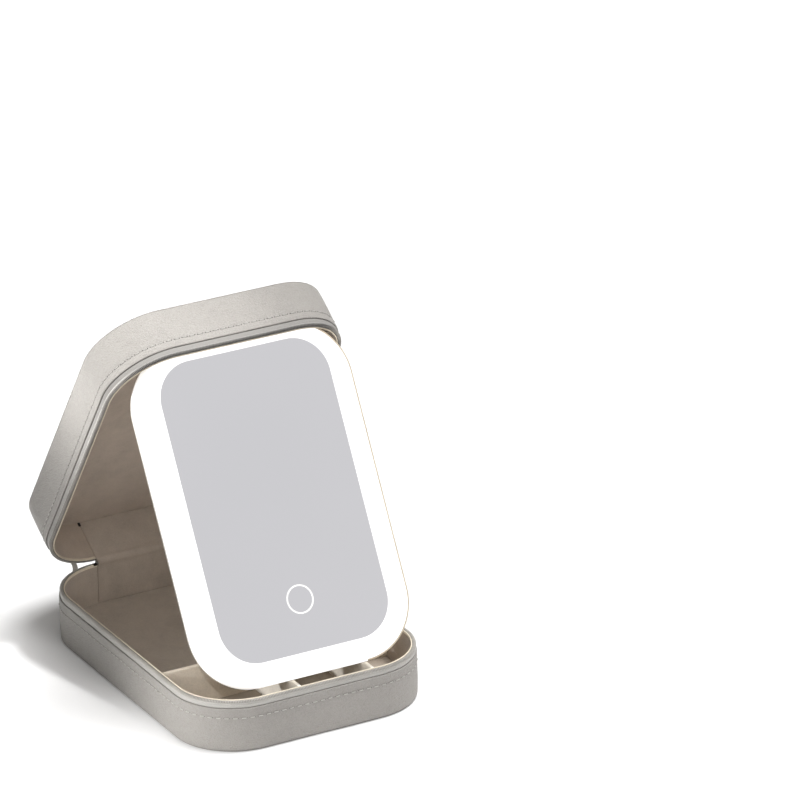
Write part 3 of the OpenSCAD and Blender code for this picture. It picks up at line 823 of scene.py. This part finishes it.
V, F = slab(Path(W, D, R, whole=True), 0.0, 0.95, edge=0.2, corner=24, step=5, inset=0.85, rings=12, bottom_edge=0.45)
V[:, 2] = np.where(V[:, 2] > 0.95, 0.95, V[:, 2])
o = add("base_underside_leather", V, F, M["leather_under"], "base", flat_uv(V), 60)
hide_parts("base_bottom_cover")

# padded floor and the lid's panel lining
V, F = slab(Path(W, D, R, whole=True), 3.1, 6.85, edge=0.35, corner=18, step=6, inset=3.5, crown=0.25, rings=12, soft=0.18, seed=1.0, bottom_edge=0.3)
o = add("base_floor_suede", V, F, M["suede_floor_painted_shade"], "base", flat_uv(V), 60)
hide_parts("base_floor_pad")
V, F = slab(Path(W, D, R, whole=True), 0.05, 0.85, edge=0.3, corner=18, step=6, inset=2.7, crown=0.12, rings=12, soft=0.2, seed=5.0)
V = V * np.array([1, 1, -1]) + np.array([0, 0, LID_IN + 0.85])
o = add("lid_panel_suede", to_lid(V), F, M["suede_lid"], "lid", flat_uv(V), 60)
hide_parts("lid_panel_lining")


# ------------------------------------------------------------------ hinge: leather spine outside, suede strip inside
def ribbon(name, line, half_w, thick, mat, nx=16, edge=0.35, wavy=0.06, seed=0.0, narrow=None):
    """strip across X whose middle line runs in the Y-Z plane; line is a list of (y, z)"""
    pts = [Vector((0, a, b)) for a, b in line]
    n = len(pts)
    norm = []
    for i in range(n):
        t = (pts[min(n - 1, i + 1)] - pts[max(0, i - 1)]).normalized()
        norm.append(Vector((0, -t.z, t.y)))
    V, F = [], []
    xs = [-half_w + 2 * half_w * k / nx for k in range(nx + 1)]
    xs = [-half_w, -half_w + 0.25] + xs[1:-1] + [half_w - 0.25, half_w]
    m = len(xs)
    for sgn in (1, -1):
        for i in range(n):
            for k, x in enumerate(xs):
                if narrow:
                    x = math.copysign(min(abs(x), half_w - narrow(i)), x)
                e = min(k, m - 1 - k)
                ei = min(i, n - 1 - i)
                h = thick / 2 * (0.45 if e == 0 or ei == 0 else 1.0)
                w_ = wavy * noise.noise(Vector((x / 14, i * 0.35, seed)))
                p = pts[i] + norm[i] * (sgn * h + w_)
                V.append((x, p.y, p.z))
    for i in range(n - 1):
        for k in range(m - 1):
            a = i * m + k
            F.append((a, a + 1, a + m + 1, a + m))
            b = n * m + a
            F.append((b, b + m, b + m + 1, b + 1))
    for i in range(n - 1):
        for k in (0, m - 1):
            a, b = i * m + k, (i + 1) * m + k
            F.append((a, b, n * m + b, n * m + a))
    for k in range(m - 1):
        for i in (0, n - 1):
            a, b = i * m + k, i * m + k + 1
            F.append((a, b, n * m + b, n * m + a))
    run = [0.0]
    for i in range(1, n):
        run.append(run[-1] + (pts[i] - pts[i - 1]).length)
    def uv(fi, k, vi):
        j = vi % (n * m)
        return (xs[j % m] / 1000, run[j // m] / 1000)
    return add(name, V, F, mat, None, uv, 75)


def polar(r, deg):
    return (HY + r * math.cos(math.radians(deg)), HB + r * math.sin(math.radians(deg)))


def on_lid_line(y, z):
    p = to_lid(np.array([[0, y, z]]))[0]
    return (p[1], p[2])


# inside: floor, up the back wall, over the fold, along the lid's back wall to its panel
yi = HY - 3.0
line = [(yi, FLOOR_Z - 0.6 + k * (31.9 - FLOOR_Z + 0.6) / 12) for k in range(13)]
r_in = 3.35
line += [polar(r_in, a) for a in np.linspace(202, 104, 13)]
line += [on_lid_line(yi, 35.0 + k * (LID_IN - 0.1 - 35.0) / 12) for k in range(13)]
fold = [Vector(p) for p in line]
notch_a, notch_b = Vector(polar(r_in, 176)), Vector(on_lid_line(yi, LID_IN - 1.0))
strip = ribbon("hinge_suede_strip", line, 39.65, 0.75, M["suede"], seed=2.0,
               narrow=lambda i: 0.85 * max(0.0, 1 - ((fold[i] - notch_a).length / 1.5) ** 2) + 1.3 * max(0.0, 1 - (fold[i] - notch_b).length / 1.6))
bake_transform(strip)
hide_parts("base_hinge_lining", "lid_hinge_lining")

# outside: leather spine over the hinge line, glued to both halves
yo = HY + 0.42
line = [(yo - 0.35 * max(0, 1 - k / 2), 17.6 + k * (32.2 - 17.6) / 10) for k in range(11)]
a0 = math.degrees(math.atan2(-1.3, 0.42))
a1 = math.degrees(math.atan2(1.3, 0.42)) - 55.5
r_o = math.hypot(1.3, 0.42)
line += [polar(r_o, a0 + (a1 - a0) * k / 8) for k in range(1, 8)]
line += [on_lid_line(yo - 0.35 * max(0, 1 - (10 - k) / 2), 34.8 + k * (49.4 - 34.8) / 10) for k in range(11)]
spine = ribbon("hinge_leather_spine", line, 39.0, 0.8, M["leather"], seed=6.0)
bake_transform(spine)
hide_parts("base_spine", "lid_spine")

# ------------------------------------------------------------------ partition and dividers, cloth over board
V, F = rounded_bar(-HX + 3.45, HX - 3.45, -51.0, -48.0, FLOOR_Z - 0.4, 32.5, r=1.1, seg=5, nx=14)
o = add("partition_suede", V, F, M["suede_part"], "base", lambda fi, k, vi: (V[vi][0] / 1000, V[vi][2] / 1000), 70)
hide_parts("cross_partition")

FOOT_Y = PIV_Y + (TOP_V - MIR_H) * CL - BACK_N * SL
FOOT_Z = PIV_Z + (TOP_V - MIR_H) * SL + BACK_N * CL
SEAT_Y = FOOT_Y + 1.8
SLOPE = math.tan(math.pi / 2 - LEAN)
SEAT_Z = FOOT_Z - 0.35 - 1.8 * SLOPE


def divider(name, x, t=2.4):
    """cloth-covered board: full height at the front wall, a sloping seat for the mirror's foot, then low to the partition"""
    out = [(-HY + 3.4, FLOOR_Z - 0.3), (-51.0, FLOOR_Z - 0.3), (-51.0, SEAT_Z), (SEAT_Y, SEAT_Z),
           (SEAT_Y - (32.5 - SEAT_Z) / SLOPE, 32.5), (-HY + 3.4, 32.5)]
    bm = bmesh.new()
    a = [bm.verts.new((x - t / 2, p[0], p[1])) for p in out]
    b = [bm.verts.new((x + t / 2, p[0], p[1])) for p in out]
    bm.faces.new(list(reversed(a)))
    bm.faces.new(b)
    k = len(out)
    for i in range(k):
        bm.faces.new((a[i], a[(i + 1) % k], b[(i + 1) % k], b[i]))
    bmesh.ops.recalc_face_normals(bm, faces=bm.faces)
    bmesh.ops.bevel(bm, geom=list(bm.edges), offset=0.7, segments=4, profile=0.5, affect="EDGES")
    bmesh.ops.triangulate(bm, faces=[f for f in bm.faces if len(f.verts) > 4])
    V = [tuple(v.co) for v in bm.verts]
    bm.verts.index_update()
    F = [tuple(v.index for v in f.verts) for f in bm.faces]
    bm.free()
    V = np.array(V)
    o = add(name + "_cloth", V, F, M["cream"], "base", lambda fi, kk, vi: (V[vi][1] / 1000, V[vi][2] / 1000), 70)
    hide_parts(name)
    return o


divider("divider_left", -13.4)
divider("divider_right", 36.2)


# ------------------------------------------------------------------ zip ends, slider and pull
def puffy_box(c, half, r, seg=4):
    bm = bmesh.new()
    bmesh.ops.create_cube(bm, size=1.0)
    for v in bm.verts:
        v.co = Vector((v.co.x * 2 * half[0], v.co.y * 2 * half[1], v.co.z * 2 * half[2]))
    bmesh.ops.bevel(bm, geom=list(bm.edges), offset=r, segments=seg, profile=0.5, affect="EDGES")
    bm.verts.index_update()
    V = np.array([tuple(v.co) for v in bm.verts]) + np.array(c)
    F = [tuple(v.index for v in f.verts) for f in bm.faces]
    bm.free()
    return V, F


parts = []
for s in (-1, 1):
    parts.append(puffy_box((s * (SEAM - 0.85), HY - 1.05, HB - 0.45), (0.9, 0.8, 0.32), 0.2))
    parts.append(puffy_box((s * (SEAM - 0.7), HY - 1.0, HB - 2.2), (0.85, 0.5, 1.6), 0.3))
V, F = joined(parts)
o = add("zip_tape_ends", V, F, M["tape"], "base", flat_uv(V), 60)
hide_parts("zip_end_stops")

# small cut corners where the hinge strip is folded under: near-black blocks as painted shade
parts_b, parts_l = [], []
for s in (-1, 1):
    parts_b.append(puffy_box((s * 41.3, HY - 2.9, HB - 0.35), (1.3, 0.9, 0.7), 0.3, 3))
    parts_l.append(puffy_box((s * 40.3, HY - 3.55, LID_IN - 1.5), (0.75, 0.4, 1.3), 0.2, 3))
V, F = joined(parts_b)
add("hinge_corner_notches", V, F, M["dark"], "base", flat_uv(V), 60)
V, F = joined(parts_l)
add("lid_corner_notches", to_lid(V), F, M["dark"], "lid", flat_uv(V), 60)

# first loops of the zip, where the two tapes are still joined: a short folded web from rim to rim
def zip_web(side):
    V, F = [], []
    na, nb = 7, 9
    for t in (0, 1):
        for i in range(na):
            ph = math.radians(21.0 + 6.5 * i / (na - 1))
            for j in range(nb):
                f = j / (nb - 1)
                ins = 0.75 + 0.5 * math.sin(math.pi * f) + (0.55 if t else 0.0)
                x, y = SEAM + (R - ins) * math.sin(ph), HY - R + (R - ins) * math.cos(ph)
                a = OPEN * f
                d, h = y - HY, -0.9 + 1.8 * f
                V.append((side * x, HY + d * math.cos(a) + h * math.sin(a), HB - d * math.sin(a) + h * math.cos(a)))
    q = na * nb
    for i in range(na - 1):
        for j in range(nb - 1):
            a = i * nb + j
            F.append((a, a + 1, a + nb + 1, a + nb))
            F.append((q + a, q + a + nb, q + a + nb + 1, q + a + 1))
    for i in range(na - 1):
        for j in (0, nb - 1):
            a, b = i * nb + j, (i + 1) * nb + j
            F.append((a, b, q + b, q + a))
    for j in range(nb - 1):
        for i in (0, na - 1):
            a, b = i * nb + j, i * nb + j + 1
            F.append((a, b, q + b, q + a))
    return np.array(V), F


for side, tag in ((-1, "left"), (1, "right")):
    V, F = zip_web(side)
    o = add("zip_end_web_" + tag, V, F, M["coil"], None, flat_uv(V), 60)
    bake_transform(o)

SA = math.radians(8)


def at_slider(v):
    v = np.asarray(v, float)
    x, y = v[:, 0], v[:, 1] + R
    c, s = math.cos(-SA), math.sin(-SA)
    return np.column_stack([SEAM + x * c - y * s, HY - R + x * s + y * c, 29.8 + v[:, 2]])


def cyl_x(x0, x1, y, z, r, seg=20, e=0.12):
    V, F = [], []
    rows = [(x0, r - e), (x0 + e, r), (x1 - e, r), (x1, r - e)]
    for (x, rr) in rows:
        for k in range(seg):
            a = 2 * math.pi * k / seg
            V.append((x, y + rr * math.cos(a), z + rr * math.sin(a)))
    for i in range(3):
        for k in range(seg):
            F.append((i * seg + k, i * seg + (k + 1) % seg, (i + 1) * seg + (k + 1) % seg, (i + 1) * seg + k))
    F.append(tuple(reversed(range(seg))))
    F.append(tuple(3 * seg + k for k in range(seg)))
    return V, F


# slider body: a waisted plate with a raised rib and two lugs
def slider_body():
    out = []
    for k in range(40):
        a = 2 * math.pi * k / 40
        x, z = 4.5 * math.cos(a), 3.2 * math.sin(a)
        x = math.copysign(min(abs(x), 4.4), x)
        w_ = 1.0 - 0.22 * math.exp(-((z + 0.9) / 1.4) ** 2)
        sx = abs(math.cos(a)) ** 0.55
        sz = abs(math.sin(a)) ** 0.55
        out.append((math.copysign(4.45 * sx, math.cos(a)) * w_, math.copysign(3.15 * sz, math.sin(a)) - 0.7))
    lev = [(0.2, 0.93), (0.45, 1.0), (1.6, 1.0), (1.95, 0.96), (2.15, 0.86), (2.2, 0.7)]
    V, F = [], []
    n = len(out)
    for (y, k) in lev:
        for (x, z) in out:
            V.append((x * k, y, (z + 0.7) * k - 0.7))
    for i in range(len(lev) - 1):
        for j in range(n):
            F.append((i * n + j, i * n + (j + 1) % n, (i + 1) * n + (j + 1) % n, (i + 1) * n + j))
    F.append(tuple(range(n)))
    F.append(tuple((len(lev) - 1) * n + j for j in reversed(range(n))))
    return V, F


def lug(x0, x1, ring=22):
    """ear with an eye for the pull's pin, as a closed solid with a through hole"""
    outer, innr = [], []
    for k in range(ring):
        a = 2 * math.pi * k / ring
        y, z = 1.55 * math.cos(a), 1.55 * math.sin(a)
        if y < 0:
            y = max(y * 1.0, -1.55) if abs(z) > 9 else y * 0.98
        outer.append((3.4 + y, z))
        innr.append((3.4 + 0.76 * math.cos(a), 0.76 * math.sin(a)))
    V, F = [], []
    for (x, lst) in ((x0, outer), (x0, innr), (x1, outer), (x1, innr)):
        V += [(x, p[0], p[1]) for p in lst]
    n = ring
    for k in range(n):
        k2 = (k + 1) % n
        F += [(k, k2, n + k2, n + k), (2 * n + k, 3 * n + k, 3 * n + k2, 2 * n + k2),
              (k, 2 * n + k, 2 * n + k2, k2), (n + k, n + k2, 3 * n + k2, 3 * n + k)]
    return V, F


parts = [slider_body()]
for s in (-1, 1):
    parts.append(lug(s * 2.85 - 0.6, s * 2.85 + 0.6))
    parts.append(puffy_box((s * 2.85, 2.2, 0), (0.6, 0.55, 1.5), 0.15, 2))
V, F = joined(parts)
o = add("zip_slider_cast", at_slider(V), F, M["metal"], "base", flat_uv(V), 35)
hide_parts("zip_slider")


def pull_tab():
    """flat tab with rounded end, raised rim and an eye"""
    n = 48
    def outline(k):
        pts = []
        for i in range(n):
            a = 2 * math.pi * i / n
            x, z = math.cos(a), math.sin(a)
            if z < 0:
                pts.append((3.0 * k * x, -20.0 + 3.0 * k * z))
            else:
                hw = 3.0 - 0.9 * max(0.0, z - 0.15)
                pts.append((hw * k * math.copysign(abs(x) ** 0.5, x), -20.0 + 15.6 * z ** 0.6 + (k - 1) * 2.0))
        return pts
    hole = [(1.35 * math.cos(2 * math.pi * i / n), -19.6 + 1.35 * math.sin(2 * math.pi * i / n)) for i in range(n)]
    y0, y1 = 3.4 - 0.65, 3.4 + 0.65
    rings = [(hole, y0 + 0.25), (outline(0.78), y0 + 0.25), (outline(0.84), y0), (outline(0.95), y0), (outline(1.0), y0 + 0.25),
             (outline(1.0), y1 - 0.25), (outline(0.95), y1), (outline(0.84), y1), (outline(0.78), y1 - 0.25), (hole, y1 - 0.25)]
    V = [(p[0], y, p[1]) for lst, y in rings for p in lst]
    F = []
    m = len(rings)
    for i in range(m):
        for k in range(n):
            a, b = i * n, ((i + 1) % m) * n
            F.append((a + k, a + (k + 1) % n, b + (k + 1) % n, b + k))
    return V, F


parts = [pull_tab(), cyl_x(-3.4, 3.4, 3.4, 0, 0.7), cyl_x(-1.9, 1.9, 3.4, 0, 1.2), puffy_box((0, 3.4, -2.6), (1.75, 0.6, 2.6), 0.3, 3)]
V, F = joined(parts)
o = add("zip_pull_tab", at_slider(V), F, M["metal"], "zip_pull", flat_uv(V), 35)
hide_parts("zip_pull")

# ------------------------------------------------------------------ mirror unit
OUT = Path(MIR_W, MIR_H, MIR_R, whole=True, cy=MID_V)
GL = Path(GLASS_W, GLASS_H, GLASS_R, whole=True, cy=GLASS_V)


def bridge(pathA, za, pathB, zb, corner=24):
    """the points of two outlines with the same sampling, as the two sides of a flat ring"""
    A = [(*pathA.on(g, f, 0)[0], za) for g, f, s in pathA.samples(corner, 9e9)]
    B = [(*pathB.on(g, f, 0)[0], zb) for g, f, s in pathB.samples(corner, 9e9)]
    n = len(A)
    return A, B, n


def lit_plate():
    """the frosted border in one piece: rounded over at its outer edge, with a fine shadow gap behind it; the right part
    of the edge and the back step take a dark tan material as painted shade
    """
    sa, sb = OUT.samples(24, 9e9), GL.samples(24, 9e9)
    n = len(sa)
    r = 0.8
    lev = [(OUT, sa, 0.45, 2.92), (OUT, sa, 0.45, 3.2), (OUT, sa, 0.08, 3.4), (OUT, sa, 0.0, 3.6), (OUT, sa, 0.0, FRONT_N - r)]
    lev += [(OUT, sa, r * (1 - math.cos(a)), FRONT_N - r * (1 - math.sin(a))) for a in (math.radians(k) for k in (18, 36, 54, 72, 90))]
    lev += [(OUT, sa, 1.12, FRONT_N), (OUT, sa, 3.0, FRONT_N), (GL, sb, -0.02, FRONT_N), (GL, sb, -0.02, 2.92)]
    V, F = [], []
    for (pt, sm, ins, z) in lev:
        for (g, f, s) in sm:
            (x, y), nn = pt.on(g, f, ins)
            V.append((x, y, z))
    m = len(lev)
    row = []
    for i in range(m):
        for k in range(n):
            a, b = i * n, ((i + 1) % m) * n
            F.append((a + k, a + (k + 1) % n, b + (k + 1) % n, b + k))
            # painted shade: the edge rounding right of x = 35 mm takes the dark tan material while on the left it keeps
            # the glow, and the two rows of the back step take it all round
            row.append(1 if i in (4, 5, 6, 7, 8, 9) and V[a + k][0] > 35 or i in (0, 1) else 0)
    return np.array(V), F, row


V, F, row = lit_plate()
o = add("mirror_lit_border", to_mirror(V), F, None, "mirror", flat_uv(V), 50, slots=[M["glow"], M["trim"]], face_slot=lambda fi: row[fi])
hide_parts("light_border")
V, F = slab(GL, 3.0, FRONT_N, edge=0.04, corner=24, step=9e9, inset=0.02, bottom_edge=0.04)
o = add("mirror_silvered_plate", to_mirror(V), F, M["silver"], "mirror", flat_uv(V), 30)
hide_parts("mirror_glass")

# painted shade: a near-black ring fills the parting gap between the lit side frame and the back cover
V, F, uv = sweep(OUT, [(0.42, -8.2), (0.36, -7.9), (0.36, -7.4), (0.42, -7.1), (1.8, -7.1), (1.8, -8.2)], 24, 1.5)
F = [f for f in F if not all(V[i][1] > TOP_V - 2.5 and 21.5 < abs(V[i][0]) < 30.5 for i in f)]
add("mirror_seam_gasket", to_mirror(V), F, M["gasket"], "mirror", flat_uv(V), 60)

# ------------------------------------------------------------------ floor, light, camera
def floor_mat():
    m, nt, bs, out = node_mat("floor_pale")
    v = tex(nt)
    c = noise_tex(nt, v, 3, 2, 0.5)
    nt.links.new(ramp(nt, c.outputs["Fac"], [(0.3, (0.86, 0.86, 0.86)), (0.7, (0.88, 0.88, 0.88))]), bs.inputs["Base Color"])
    bs.inputs["Roughness"].default_value = 0.7
    bs.inputs["Specular IOR Level"].default_value = 0.2
    return m


me = bpy.data.meshes.new("floor")
me.from_pydata([(-20, -20, 0), (20, -20, 0), (20, 20, 0), (-20, 20, 0)], [], [(0, 1, 2, 3)])
me.materials.append(floor_mat())
floor = bpy.data.objects.new("floor", me)
bpy.context.scene.collection.objects.link(floor)

world = bpy.data.worlds.new("studio")
bpy.context.scene.world = world
world.use_nodes = True
wt = world.node_tree
bg = wt.nodes["Background"]
tc = wt.nodes.new("ShaderNodeTexCoord")
dot = wt.nodes.new("ShaderNodeVectorMath")
dot.operation = "DOT_PRODUCT"
dot.inputs[1].default_value = Vector((0.48, -0.68, 0.4)).normalized()
wt.links.new(tc.outputs["Generated"], dot.inputs[0])
soft = wt.nodes.new("ShaderNodeMapRange")
soft.interpolation_type = "SMOOTHSTEP"
for i, v in ((1, -0.1), (2, 0.8), (3, 0.135), (4, 0.715)):
    soft.inputs[i].default_value = v
wt.links.new(dot.outputs["Value"], soft.inputs[0])
wt.links.new(soft.outputs[0], bg.inputs[1])
wt.links.new(ramp(wt, soft.outputs[0], [(0.135, (1.0, 0.955, 0.88)), (0.6, (0.99, 0.985, 1.0))]), bg.inputs[0])


def lamp(name, kind, at, energy, aim=None, angle=None, cone=None, size=None, colour=(1, 1, 1)):
    L = bpy.data.lights.new(name, kind)
    L.energy = energy
    L.color = colour
    if kind == "SUN":
        L.angle = math.radians(angle)
    else:
        L.spot_size, L.spot_blend, L.shadow_soft_size = math.radians(cone), 1.0, size
    ob = bpy.data.objects.new(name, L)
    if kind != "SUN":
        ob.location = at
    ob.rotation_mode = "QUATERNION"
    ob.rotation_quaternion = (Vector(at) - Vector(aim or (0, 0, 0))).to_track_quat("Z", "Y")
    bpy.context.scene.collection.objects.link(ob)


lamp("overhead", "SUN", (0.25, 0.0, 1.0), 2.98, angle=30)
lamp("front_fill", "SUN", (-0.35, -0.80, 0.45), 0.50, angle=55)
lamp("side_upper", "SPOT", (-1.54, 0.75, 0.60), 235, aim=(-0.08, 0.040, 0.190), cone=5.6, size=0.05)
lamp("lid_front", "SPOT", (0.30, -0.95, 2.05), 165, aim=(-0.052, -0.004, 0.228), cone=6.6, size=0.05)
lamp("corner_low", "SPOT", (-1.57, -0.18, 0.62), 128, aim=(-0.086, -0.070, 0.010), cone=5.0, size=0.05)
lamp("tray_front", "SPOT", (-1.00, -1.55, 1.30), 62, aim=(-0.050, -0.050, 0.020), cone=1.9, size=0.03)

cam = bpy.data.cameras.new("camera")
cam.sensor_width = 36.0
cam.lens = 299.2847
cam.clip_start, cam.clip_end = 0.1, 100
co = bpy.data.objects.new("camera", cam)
co.matrix_world = Matrix(((0.875188, 0.203805, -0.438758, -1.66673),
                          (-0.483495, 0.337184, -0.807799, -3.28324),
                          (-0.016691, 0.919114, 0.393639, 1.74958),
                          (0, 0, 0, 1)))
bpy.context.scene.collection.objects.link(co)
bpy.context.scene.camera = co
bpy.context.scene.view_settings.view_transform = "Standard"

bpy.context.view_layer.update()
